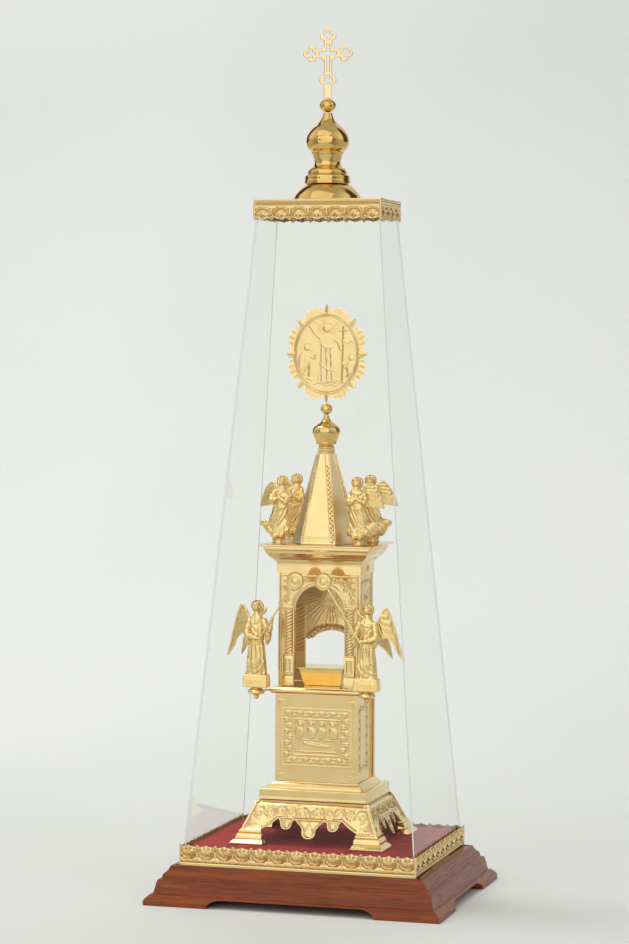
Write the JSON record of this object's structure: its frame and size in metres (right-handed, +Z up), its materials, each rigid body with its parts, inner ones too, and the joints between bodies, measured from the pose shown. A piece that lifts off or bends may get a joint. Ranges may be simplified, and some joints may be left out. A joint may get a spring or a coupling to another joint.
{
  "type": "altar tabernacle",
  "caption": "Gilt brass altar tabernacle shaped as a tower with an arched shrine, spire and angels, under a tapered glass hood with a cross, on a moulded wooden plinth.",
  "frame": {"origin": "middle of the plinth's underside", "axes": "+Z up, the front with the open arch faces -Y, +X is to the right of someone who faces it"},
  "size_m": [0.27, 0.2216, 0.7791],
  "materials": {
    "wood": "satin brown varnish",
    "board": "bare board",
    "velvet": "burgundy velvet",
    "glass": "clear, ground edges",
    "gilt_brass": "gilt, satin to bright, embossed",
    "polished_brass": "gilt, mirror polished"
  },
  "bodies": {
    "root": {"plinth": "wood", "floor_board": "board", "velvet_cover": "velvet", "gallery_front": "gilt_brass", "gallery_back": "gilt_brass", "gallery_left": "gilt_brass", "gallery_right": "gilt_brass", "glass_front": "glass", "glass_back": "glass", "glass_left": "glass", "glass_right": "glass", "crown_front": "gilt_brass", "crown_back": "gilt_brass", "crown_left": "gilt_brass", "crown_right": "gilt_brass", "crown_plate": "gilt_brass", "finial_foot": "polished_brass", "finial_collar": "polished_brass", "finial_onion": "polished_brass", "finial_ball": "polished_brass", "finial_cross": "polished_brass", "skirt_front": "gilt_brass", "skirt_back": "gilt_brass", "skirt_left": "gilt_brass", "skirt_right": "gilt_brass", "slab": "gilt_brass", "cabinet_front": "gilt_brass", "cabinet_left": "gilt_brass", "cabinet_right": "gilt_brass", "drawer": "gilt_brass", "ledge": "gilt_brass", "shrine_front": "gilt_brass", "shrine_back": "gilt_brass", "shrine_left": "gilt_brass", "shrine_right": "gilt_brass", "casket": "gilt_brass", "casket_lid": "gilt_brass", "cornice": "gilt_brass", "roof_plate": "gilt_brass", "spire": "gilt_brass", "spire_collar": "gilt_brass", "spire_onion": "polished_brass", "spire_ball": "polished_brass", "medallion": "gilt_brass", "side_angel_left": "gilt_brass", "side_angel_right": "gilt_brass", "bracket_knob_left": "gilt_brass", "bracket_knob_right": "gilt_brass", "bracket_arm_left": "gilt_brass", "bracket_arm_right": "gilt_brass", "fan_left": "gilt_brass", "fan_right": "gilt_brass", "roof_pedestal_front_left": "gilt_brass", "roof_angel_front_left": "gilt_brass", "roof_pedestal_front_right": "gilt_brass", "roof_angel_front_right": "gilt_brass", "roof_pedestal_back_left": "gilt_brass", "roof_angel_back_left": "gilt_brass", "roof_pedestal_back_right": "gilt_brass", "roof_angel_back_right": "gilt_brass"}
  },
  "joints": []
}
